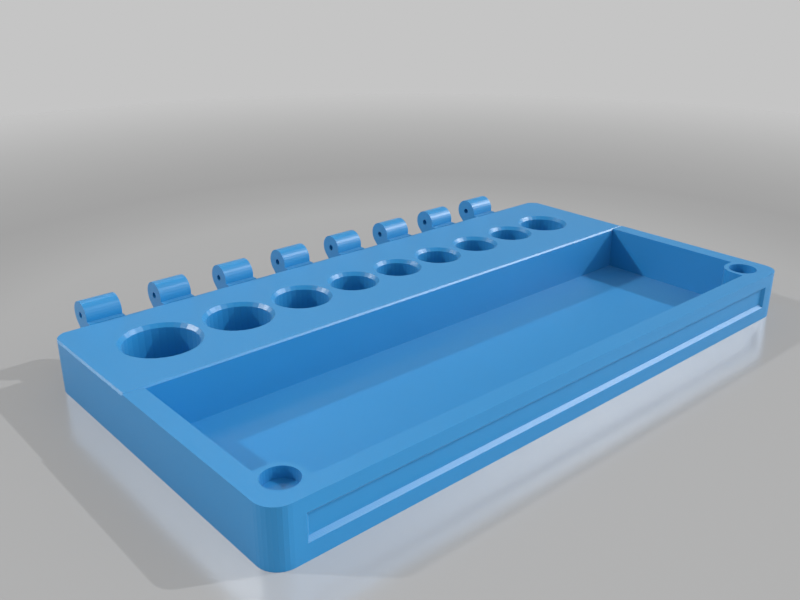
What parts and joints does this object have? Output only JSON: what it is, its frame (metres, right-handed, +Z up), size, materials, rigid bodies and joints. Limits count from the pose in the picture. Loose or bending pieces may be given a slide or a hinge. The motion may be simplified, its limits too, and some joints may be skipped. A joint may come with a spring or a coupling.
{
  "type": "socket storage box",
  "caption": "Low open box, the base half of a hinged socket set case: round wells for sockets in a rear block, an open parts bin in front, magnet pockets and hinge knuckles.",
  "frame": {"origin": "middle of the box's footprint, on the surface that it stands on", "axes": "+X from left to right along the row of wells, +Y from the front wall to the hinge, +Z up"},
  "size_m": [0.2066, 0.1206, 0.0212],
  "materials": {
    "block_plastic": "satin",
    "floor_plastic": "satin",
    "knuckle_plastic": "satin",
    "panel_plastic": "satin",
    "post_plastic": "satin",
    "sleeve_plastic": "satin",
    "wall_plastic": "satin"
  },
  "bodies": {
    "root": {"floor_plate": "floor_plastic", "wall_frame": "wall_plastic", "socket_block": "block_plastic", "label_panel": "panel_plastic", "magnet_post_left": "post_plastic", "magnet_post_right": "post_plastic", "well_sleeve_1": "sleeve_plastic", "well_sleeve_2": "sleeve_plastic", "well_sleeve_3": "sleeve_plastic", "well_sleeve_4": "sleeve_plastic", "well_sleeve_5": "sleeve_plastic", "well_sleeve_6": "sleeve_plastic", "well_sleeve_7": "sleeve_plastic", "well_sleeve_8": "sleeve_plastic", "well_sleeve_9": "sleeve_plastic", "hinge_knuckle_1": "knuckle_plastic", "hinge_knuckle_2": "knuckle_plastic", "hinge_knuckle_3": "knuckle_plastic", "hinge_knuckle_4": "knuckle_plastic", "hinge_knuckle_5": "knuckle_plastic", "hinge_knuckle_6": "knuckle_plastic", "hinge_knuckle_7": "knuckle_plastic", "hinge_knuckle_8": "knuckle_plastic"}
  },
  "joints": []
}
